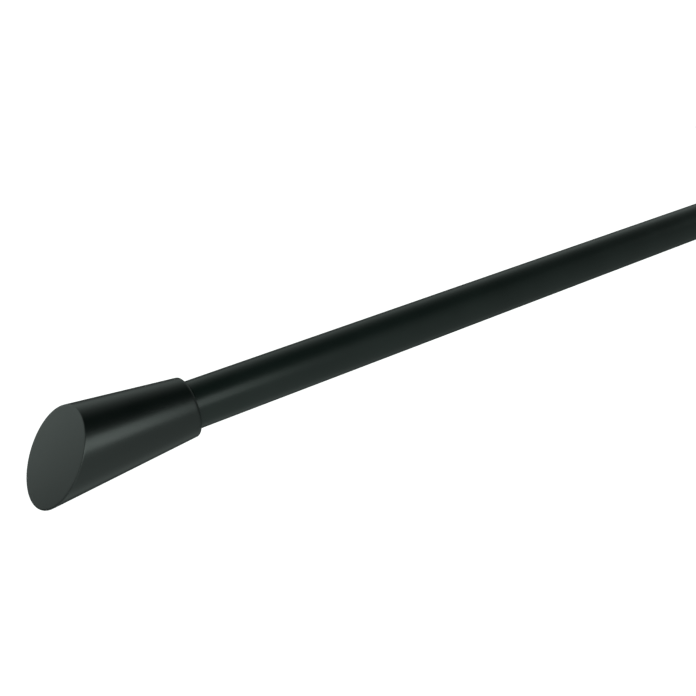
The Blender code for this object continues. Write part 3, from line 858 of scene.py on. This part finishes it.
def wall_plate(side):
    """The plate and boss of one bracket, with its two countersunk holes and the grub screw's hole."""
    low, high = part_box(side + "_wall_plate")
    rim = (high.x - low.x) / 2
    back, boss_end = high.y, low.y
    front = back - PLATE_THICKNESS
    floor = back - BOSS_FLOOR
    corners = [
        (0, back, 0),
        (RELIEF_INSIDE, back, 0.2 * MM),
        (RELIEF_INSIDE, back - RELIEF_DEPTH, 0.2 * MM),
        (RELIEF_OUTSIDE, back - RELIEF_DEPTH, 0.2 * MM),
        (RELIEF_OUTSIDE, back, 0.2 * MM),
        (rim, back, 0.3 * MM),
        (rim, front, 0.8 * MM),
        (BOSS_RADIUS, front, 1.2 * MM),
        (BOSS_RADIUS, boss_end, 0.7 * MM),
        (ARM_BORE, boss_end, 0.3 * MM),
        (ARM_BORE, floor, 0.3 * MM),
        (0, floor, 0),
    ]
    made = turn("plate_" + side, supported(rounded(corners), 0.3 * MM, 6), "Y", (station[side], 0, 0), 128)
    for place in ("upper", "lower"):
        head_low, head_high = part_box(f"{side}_wall_screw_{place}")
        height = (head_low.z + head_high.z) / 2
        sink = (head_high.z - head_low.z) / 2 + SLIDE
        behind, before = back + 1 * MM, front - 1 * MM
        hole = [(0, behind), (SCREW_HOLE, behind), (SCREW_HOLE, front + sink - SCREW_HOLE)]
        hole += [(sink, front), (sink, before), (0, before)]
        carve(made, turn("countersink", hole, "Y", (station[side], 0, height), 64))
    grub_low, grub_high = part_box(side + "_arm_screw")
    radius = (grub_high.x - grub_low.x) / 2 + SLIDE
    middle = (grub_low + grub_high) / 2
    carve(made, bar("drill", radius, -2 * BOSS_RADIUS, -ARM_BORE / 2, "Z", (middle.x, middle.y, 0)))
    return hand_over(made, CAST_COAT, "black_powder_coat", side + "_wall_plate")


for side in SIDES:
    wall_plate(side)

# %% [markdown]
# ## Wall screws
#
# A wood screw has a countersunk head with a cross recess, a coarse thread and a point. The recess tapers as
# it goes down, so its cutter is a cross that shrinks toward its far end.

# %% Cut the wall screws
SCREW_SHANK = 2.0 * MM  # radius
SCREW_PITCH = 1.8 * MM
SCREW_THREAD = 0.55 * MM
SCREW_POINT = 6.0 * MM
RECESS_DEPTH = 1.6 * MM


def cross_tool(arm, half, place, top, depth):
    """A tapering cross that points into a screw's head, toward the wall."""
    outline = [(arm, -half), (arm, half), (half, half), (half, arm), (-half, arm), (-half, half)]
    outline += [(-a, -b) for a, b in outline]
    rings = []
    for share, y in ((1.3, top - depth / 2), (1.0, top), (0.4, top + depth)):
        rings.append([(place[0] + a * share, y, place[2] + b * share) for a, b in outline])
    return skin("cross", rings, poles=[(place[0], y, place[2]) for y in (top - depth / 2, top + depth)])


def wall_screw(side, place):
    """One of the two screws of a wall plate."""
    node = f"{side}_wall_screw_{place}"
    low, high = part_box(node)
    head = (high.z - low.z) / 2
    height = (high.z + low.z) / 2
    neck = low.y + head - SCREW_SHANK
    taper = high.y - SCREW_POINT
    step = SCREW_PITCH / 12
    corners = [(0, low.y, 0), (head, low.y, 0.15 * MM)]
    corners += [(SCREW_SHANK, neck, 0.5 * MM), (SCREW_SHANK, neck + 1 * MM, 0)]
    line = rounded(corners)
    line += ladder(SCREW_SHANK, neck + 1.1 * MM, taper, step)
    line += ladder((SCREW_SHANK, 0.35 * MM), taper + 0.1 * MM, high.y - 0.1 * MM, step)
    line += [(0, high.y)]
    groove = thread(SCREW_PITCH, SCREW_THREAD, neck + 2 * MM, high.y - 2 * MM)
    origin = (station[side], 0, height)
    made = turn(f"screw_wall_{side}_{place}", line, "Y", origin, 72, relief=groove)
    carve(made, cross_tool(0.58 * head, 0.11 * head, origin, low.y, RECESS_DEPTH))
    return hand_over(made, ZINC, "zinc_steel", node)


for side in SIDES:
    for place in ("upper", "lower"):
        wall_screw(side, place)

# %% [markdown]
# ## Wall plugs
#
# The plug that a screw spreads in the wall is a nylon tube with barbs all round, a small flange in front,
# and a slit through its middle. The barbs are a saw-tooth outline, so a loop writes them down.

# %% Mould the wall plugs
PLUG_SHAFT = 3.4 * MM
PLUG_BORE = 2.2 * MM
PLUG_FLANGE = 0.5 * MM  # thickness
BARBS = 9
BARB_LENGTH = 2.6 * MM
BARB_DEPTH = 0.5 * MM
SLIT_HALF = 0.45 * MM


def wall_plug(side, place):
    """The plug round one wall screw."""
    node = f"{side}_wall_anchor_{place}"
    low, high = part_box(node)
    flange = (high.x - low.x) / 2
    height = (high.z + low.z) / 2
    neck = low.y + PLUG_FLANGE
    corners = [(PLUG_BORE, low.y, 0.1 * MM), (flange, low.y, 0.15 * MM), (flange, neck, 0.1 * MM)]
    corners += [(PLUG_SHAFT, neck, 0.1 * MM)]
    for k in range(BARBS):
        start = neck + 3.5 * MM + k * BARB_LENGTH
        corners += [(PLUG_SHAFT, start, 0.1 * MM)]
        corners += [(PLUG_SHAFT - BARB_DEPTH, start + BARB_LENGTH / 4, 0.1 * MM)]
    corners += [(PLUG_SHAFT * 0.8, high.y, 0.3 * MM), (PLUG_BORE, high.y, 0.1 * MM)]
    line = supported(rounded(corners, closed=True, steps=2), 0.25 * MM, 2, closed=True)
    origin = (station[side], 0, height)
    made = turn(f"plug_wall_{side}_{place}", line, "Y", origin, 80, closed=True)
    left, right = station[side] - 2 * PLUG_SHAFT, station[side] + 2 * PLUG_SHAFT
    front, back = neck + 9 * MM, neck + 25.5 * MM
    plan = [(left, front), (right, front), (right, back), (left, back)]
    carve(made, prism("slit", plan, height - SLIT_HALF, height + SLIT_HALF))
    return hand_over(made, GREY_NYLON, "grey_nylon", node)


for side in SIDES:
    for place in ("upper", "lower"):
        wall_plug(side, place)

# %% [markdown]
# ## Roses
#
# The rose is a thin pressed cap that slides along the boss and hides the plate and its screws. Its shoulder
# is a wide, even bend, sharper inside than outside by the thickness of the sheet, and the hole in its
# middle is just large enough for the boss.

# %% Press the roses
ROSE_WALL = 1.0 * MM
ROSE_SHOULDER = 4.0 * MM


def rose(side):
    """The cap over one wall plate."""
    low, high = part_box(side + "_rose")
    outside = (high.x - low.x) / 2
    inside = outside - ROSE_WALL
    hole = BOSS_RADIUS + SLIDE
    corners = [
        (outside, high.y, 0.3 * MM),
        (outside, low.y, ROSE_SHOULDER),
        (hole, low.y, 0.4 * MM),
        (hole, low.y + ROSE_WALL, 0.15 * MM),
        (inside, low.y + ROSE_WALL, ROSE_SHOULDER - ROSE_WALL),
        (inside, high.y, 0.15 * MM),
    ]
    line = supported(rounded(corners, closed=True, steps=14), 0.4 * MM, 4, closed=True)
    made = turn("rose_" + side, line, "Y", (station[side], 0, 0), 160, closed=True)
    return hand_over(made, CAST_COAT, "black_powder_coat", side + "_rose")


for side in SIDES:
    rose(side)

# %% [markdown]
# ## Arms
#
# The arm is a steel bar that slides in the boss to set how far the rod stands off the wall. Its front end
# is stepped down to a threaded spigot, which is screwed into the cradle.

# %% Turn the arms
ARM_SPIGOT = 3.0 * MM
SPIGOT_LENGTH = 7.0 * MM
SPIGOT_PITCH = 1.0 * MM
SPIGOT_THREAD = 0.5 * MM  # depth
SPIGOT_RELIEF = 0.4 * MM  # plain stretch under the shoulder


def arm(side):
    """The bar of one bracket, with its threaded spigot."""
    low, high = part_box(side + "_arm")
    radius = (high.x - low.x) / 2
    shoulder = low.y + SPIGOT_LENGTH
    runout = shoulder - SPIGOT_RELIEF
    corners = [(0, high.y, 0), (radius, high.y, 0.6 * MM), (radius, shoulder, 0.5 * MM)]
    corners += [(ARM_SPIGOT, shoulder, 0.1 * MM), (ARM_SPIGOT, runout, 0)]
    line = supported(rounded(corners), 0.3 * MM, 8)
    line += ladder(ARM_SPIGOT, shoulder - 0.5 * MM, low.y + 0.5 * MM)
    line += [Vector((ARM_SPIGOT - SPIGOT_THREAD, low.y)), Vector((0, low.y))]
    winding = thread(SPIGOT_PITCH, SPIGOT_THREAD, low.y, runout)
    made = turn("arm_" + side, line, "Y", (station[side], 0, 0), 96, relief=winding)
    return hand_over(made, ROD_COAT, "black_powder_coat", side + "_arm")


for side in SIDES:
    arm(side)

# %% [markdown]
# ## Cradles
#
# The cradle is cast in one piece: an open cup for the rod, a boss behind it for the arm and a boss in front
# for the thumb screw. A casting has no sharp edge inside or out. Rounding every edge of a joined mesh by
# hand is slow, so the raw shapes are put together plainly, then Remesh lays an even net of small squares
# over the whole, and a few rounds of smoothing relax the net. That rounds outer edges and fills inner
# corners alike, just as the powder does on the real casting.

# %% Shape a raw cradle
CUP_WALL = 2.6 * MM
CUP_CORNER = 5.0 * MM
BACK_BOSS = 6.8 * MM
FRONT_BOSS = 5.0 * MM
CAST_ROOM = 0.3 * MM  # from a boss to the cup's inside, and from the spigot to the end of its hole
THUMB_BORE = 2.6 * MM
NET = 0.30 * MM  # size of the squares that Remesh lays
ROUNDS = 8  # of smoothing


def slab(name, outline, low, high, place):
    """An outline with a thickness; place puts (a, b, along) into the room."""
    rings = [[place(a, b, along) for a, b in outline] for along in (low, high)]
    shape = bmesh.new()
    ends = [[shape.verts.new(point) for point in ring] for ring in rings]
    shape.faces.new(ends[0])
    shape.faces.new(ends[1][::-1])
    for k in range(len(outline)):
        beside = (k + 1) % len(outline)
        shape.faces.new((ends[0][k], ends[1][k], ends[1][beside], ends[0][beside]))
    bmesh.ops.recalc_face_normals(shape, faces=shape.faces)
    mesh = bpy.data.meshes.new(name)
    shape.to_mesh(mesh)
    shape.free()
    return show(name, mesh)


def cup(side, low, high):
    """The bare cup: a U from the end of the rod, with its tips rounded as seen from the front."""
    axis = rod_axis
    outside = axis.z - low.z
    inside = outside - CUP_WALL
    tip = high.z - axis.z
    arc = [-math.pi * k / 48 for k in range(49)]
    outline = [(outside, tip)] + [(outside * math.cos(a), outside * math.sin(a)) for a in arc]
    outline += [(-outside, tip), (-inside, tip)]
    outline += [(inside * math.cos(a), inside * math.sin(a)) for a in reversed(arc)] + [(inside, tip)]
    made = slab("cradle_" + side, outline, low.x, high.x, lambda a, b, x: (x, axis.y + a, axis.z + b))
    half = (high.x - low.x) / 2
    reach = 2 * outside
    corners = [(half, -reach, 0), (half, tip, CUP_CORNER), (-half, tip, CUP_CORNER), (-half, -reach, 0)]
    front = [tuple(point) for point in rounded(corners, closed=True, steps=10)]
    tabs = slab("tabs", front, -reach, reach, lambda a, b, y: (station[side] + a, axis.y + y, axis.z + b))
    return combine(made, tabs, "INTERSECT"), inside


# %% [markdown]
# The bosses start inside the cup's wall, so that the union leaves no gap. The arm's hole is drilled to fit
# its spigot, and the thumb screw's goes right through into the cup. Then come the net and the smoothing.

# %% Join, drill and soften the cradles
def cradle(side):
    """One cradle, from its cup to the smoothed casting."""
    node = side + "_cradle"
    low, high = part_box(node)
    made, inside = cup(side, low, high)
    back = high.y - rod_axis.y
    front = rod_axis.y - low.y
    place = (station[side], rod_axis.y, rod_axis.z)
    arm_hole_floor = back - SPIGOT_LENGTH - CAST_ROOM
    weld(made, bar("boss", BACK_BOSS, inside + CAST_ROOM, back, "Y", place, 96))
    weld(made, bar("boss", FRONT_BOSS, -front, -inside - CAST_ROOM, "Y", place, 96))
    carve(made, bar("drill", ARM_SPIGOT + SLIDE, arm_hole_floor, 2 * back, "Y", place, 96))
    carve(made, bar("drill", THUMB_BORE, -2 * front, 0.0, "Y", place, 96))
    net = made.modifiers.new("net", "REMESH")
    net.mode = "VOXEL"
    net.voxel_size = NET
    relax = made.modifiers.new("relax", "SMOOTH")
    relax.factor = 0.5
    relax.iterations = ROUNDS
    return hand_over(settle(made), CAST_COAT, "black_powder_coat", node)


for side in SIDES:
    cradle(side)

# %% [markdown]
# ## Thumb screws
#
# The thumb screw clamps the rod in its cup. Its head is rolled with twenty rounded flutes, which fade out
# on the shoulders, and its face is slightly dished. Head and thread are one outline: the relief adds flutes
# where the radius is large and a thread where it is small.

# %% Roll the thumb screws
FLUTES = 20
FLUTE_DEPTH = 0.55 * MM
THUMB_SHANK = 2.4 * MM  # radius
THUMB_PITCH = 0.8 * MM
THUMB_THREAD = 0.38 * MM
THUMB_DISH = 0.4 * MM
SHANK_LENGTH = 12 * MM


def thumb(side):
    """One thumb screw, head and thread in one outline."""
    node = side + "_thumb_screw"
    low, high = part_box(node)
    head = (high.z - low.z) / 2
    shank, tip = THUMB_SHANK, high.y
    under = tip - SHANK_LENGTH
    dish = low.y + THUMB_DISH
    line = [Vector((0, tip)), Vector((shank - 0.6 * MM, tip))]
    line += ladder(shank, tip - 0.6 * MM, under + 0.5 * MM)
    corners = [(shank, under + 0.4 * MM, 0), (shank, under, 0.2 * MM), (head, under, 0.7 * MM)]
    corners += [(head, low.y, 1.1 * MM), (0.66 * head, low.y, 0.3 * MM)]
    corners += [(0.60 * head, dish, 0.3 * MM), (0, dish, 0)]
    line += supported(rounded(corners, steps=7), 0.3 * MM, 6)
    winding = thread(THUMB_PITCH, THUMB_THREAD, under, tip)

    def relief(angle, radius, height):
        wave = (0.5 - 0.5 * np.cos(FLUTES * angle)) ** 1.5
        on_head = np.clip((radius - 0.78 * head) / (0.2 * head), 0, 1)
        on_shank = (radius < 1.05 * shank) & (height > under + 0.3 * MM)
        return winding(angle, radius, height) * on_shank - FLUTE_DEPTH * wave * on_head

    origin = (station[side], 0, rod_axis.z)
    made = turn("thumb_" + side, line, "Y", origin, 12 * FLUTES, relief=relief)
    return hand_over(made, OXIDE, "black_oxide", node)


for side in SIDES:
    thumb(side)

# %% [markdown]
# ## The floor and the room
#
# The set hangs well above a pale floor that curves up into a pale wall under a pale ceiling, a cove like
# the ones that small things are shot in. It glows by itself, so that it stays an even white whatever the
# lamps do, and it is left out of reflections, because in this finish the reflections are the whole picture:
# they come from the room described next.

# %% Build the cove
FLOOR_DROP = 0.9
COVE_RADIUS = 9.0
COVE_HEIGHT = 7.0
COVE_BEND = 3.0
COVE_GLOW = 0.9


def cove():
    """Floor, wall and ceiling round the set, seen from inside."""
    middle = (cad_low + cad_high) / 2
    floor = -FLOOR_DROP
    ceiling = floor + COVE_HEIGHT
    line = rounded([(0, floor, 0), (COVE_RADIUS, floor, COVE_BEND), (COVE_RADIUS, ceiling, 0)], steps=24)
    made = turn("floor", line + [Vector((0, ceiling))], "Z", (middle.x, middle.y, 0), 96)
    made.data.flip_normals()
    made.data.shade_smooth()
    paper, tree, shader = new_finish("pale_floor")
    tone = two_tone(tree, grain(tree, 0.4, 2.0), (0.86, 0.86, 0.86), (0.90, 0.90, 0.90))
    tree.links.new(tone, shader.inputs["Base Color"])
    shader.inputs["Roughness"].default_value = 0.9
    shader.inputs["Emission Color"].default_value = (1.0, 1.0, 1.0, 1.0)
    shader.inputs["Emission Strength"].default_value = COVE_GLOW
    made.data.materials.append(paper)
    made.visible_glossy = False
    made.visible_diffuse = False
    made.visible_shadow = False
    return made


cove()
print("cove:", COVE_RADIUS, "m in radius,", COVE_HEIGHT, "m high, its floor", FLOOR_DROP, "m under the rod")

# %% [markdown]
# A satin black thing shows its shape only by what it mirrors. So the room is painted on the sky around the
# set by direction, as five washes of light: the bright wall in front that fades to a dark ceiling, the wall
# behind, the wall past the near end, a breath of light above the far end, and a soft fill at the near end.
#
# Each wash is one ramp by the angle round the rod, times another by how far the direction leans along it.
# Angles are in degrees: 0 is straight in front, 90 straight up, 180 into the wall and -90 straight down.
# The lean runs from -1, straight past the left finial, to 1, straight past the right one.

# %% Paint the room
def ramp(tree, value, stops):
    """Brightness by a value from 0 to 1."""
    node = tree.nodes.new("ShaderNodeValToRGB")
    node.color_ramp.interpolation = "EASE"
    while len(node.color_ramp.elements) < len(stops):
        node.color_ramp.elements.new(0.5)
    for element, (place, level) in zip(node.color_ramp.elements, stops):
        element.position = place
        element.color = (level, level, level, 1.0)
    tree.links.new(value, node.inputs["Fac"])
    return node.outputs["Color"]


def wash(around, along):
    """One wash of light: its level by the angle round the rod, times its level by the lean."""
    by_angle = ramp(sky, round_share, [((angle + 180) / 360, level) for angle, level in around])
    by_lean = ramp(sky, along_share, [((lean + 1) / 2, level) for lean, level in along])
    return reckon(sky, by_angle, by_lean, "MULTIPLY")


WALL_TINT = (0.86, 1.0, 0.945)  # a breath of green, as pale walls have in daylight
room = bpy.data.worlds.new("room")
bpy.context.scene.world = room
room.use_nodes = True
sky = room.node_tree
direction = sky.nodes.new("ShaderNodeTexCoord")
split = sky.nodes.new("ShaderNodeSeparateXYZ")
sky.links.new(direction.outputs["Generated"], split.inputs["Vector"])
toward_us = reckon(sky, split.outputs["Y"], -1.0, "MULTIPLY")
round_angle = reckon(sky, split.outputs["Z"], toward_us, "ARCTAN2")
round_share = spread(sky, round_angle, 0.0, 1.0, (-math.pi, math.pi))
along_share = spread(sky, split.outputs["X"], 0.0, 1.0, (-1.0, 1.0))

front = wash(
    around=[(-180, 0.0), (-116, 0.0), (-104, 0.13), (-91, 0.43), (-60, 0.43), (-30, 0.55), (0, 0.57),
            (25, 0.50), (45, 0.36), (60, 0.16), (76, 0.0)],
    along=[(-1.0, 0.9), (-0.2, 0.93), (0.0, 0.95), (0.35, 0.98), (0.56, 0.58), (0.76, 0.38), (1.0, 0.34)],
)
back = wash(
    around=[(-180, 0.38), (-172, 0.14), (-158, 0.0), (108, 0.0), (130, 0.22), (148, 0.54), (165, 0.72),
            (176, 0.54), (180, 0.38)],
    along=[(-0.40, 0.0), (-0.20, 1.0), (0.24, 1.0), (0.42, 0.72), (1.0, 0.72)],
)
end = wash(
    around=[(-180, 0.46), (-165, 0.32), (-145, 0.0), (108, 0.0), (130, 0.22), (148, 0.54), (165, 0.62),
            (180, 0.46)],
    along=[(-1.0, 0.46), (-0.88, 0.66), (-0.70, 1.05), (-0.40, 0.95), (-0.20, 0.0)],
)
top = wash(
    around=[(38, 0.0), (64, 0.10), (112, 0.10), (134, 0.0)],
    along=[(0.50, 0.0), (0.80, 1.0)],
)
fill = wash(
    around=[(-120, 0.0), (-95, 0.22), (-50, 0.10), (20, 0.10), (60, 0.55), (108, 0.55), (130, 0.0)],
    along=[(-1.0, 1.0), (-0.42, 1.0), (-0.16, 0.0)],
)
near_end = reckon(sky, reckon(sky, front, back), fill)
level = reckon(sky, near_end, reckon(sky, end, top))
wall_paint = two_tone(sky, level, (0.0, 0.0, 0.0), WALL_TINT)
sky.links.new(wall_paint, sky.nodes["Background"].inputs["Color"])
sky.nodes["Background"].inputs["Strength"].default_value = 1.0
print("the room is painted with", len(sky.nodes), "nodes")

# %% [markdown]
# Four soft boxes hang in the room. The one in front of the left finial, beside the camera, draws the long
# highlight down the cone, which dies away along the rod because the box is so near. A weaker one behind the
# finial is mirrored in its sawn end and lets that face go from light to dark. The other two stand near the
# right bracket and past the far end, so that those pieces show their shapes as well.

# %% Hang the soft boxes
def soft_box(name, place, target, width, height, brightness):
    """A rectangular lamp that faces a point; brightness 1 is a white sheet of paper in full light."""
    data = bpy.data.lights.new(name, "AREA")
    data.shape = "RECTANGLE"
    data.size = width
    data.size_y = height
    data.color = WALL_TINT
    data.energy = brightness * math.pi * width * height
    made = show(name, data)
    made.location = place
    made.rotation_mode = "QUATERNION"
    made.rotation_quaternion = (Vector(place) - Vector(target)).to_track_quat("Z", "Y")
    made.visible_camera = False
    print(f"{name}: {data.energy:.3f} W at", made.location.to_tuple(3))
    return made


FRONT_REACH = 0.30
FRONT_RISE = math.radians(39)
cone_middle = Vector((-0.505, rod_axis.y, rod_axis.z))
soft_box(
    "front_soft_box",
    place=cone_middle + FRONT_REACH * Vector((0, -math.cos(FRONT_RISE), math.sin(FRONT_RISE))),
    target=cone_middle,
    width=0.33,
    height=0.165,
    brightness=1.85,
)
soft_box(
    "end_soft_box",
    place=(-0.645, 0.150, -0.030),
    target=(-0.531, -0.085, 0.0),
    width=0.16,
    height=0.24,
    brightness=0.45,
)
soft_box(
    "bracket_soft_box",
    place=(0.95, -0.30, 0.34),
    target=(0.74, -0.05, 0.0),
    width=0.40,
    height=0.20,
    brightness=0.9,
)
soft_box(
    "far_end_soft_box",
    place=(1.46, -0.12, 0.50),
    target=(1.22, -0.085, 0.0),
    width=0.30,
    height=0.30,
    brightness=1.0,
)
bpy.context.scene.view_settings.view_transform = "Standard"
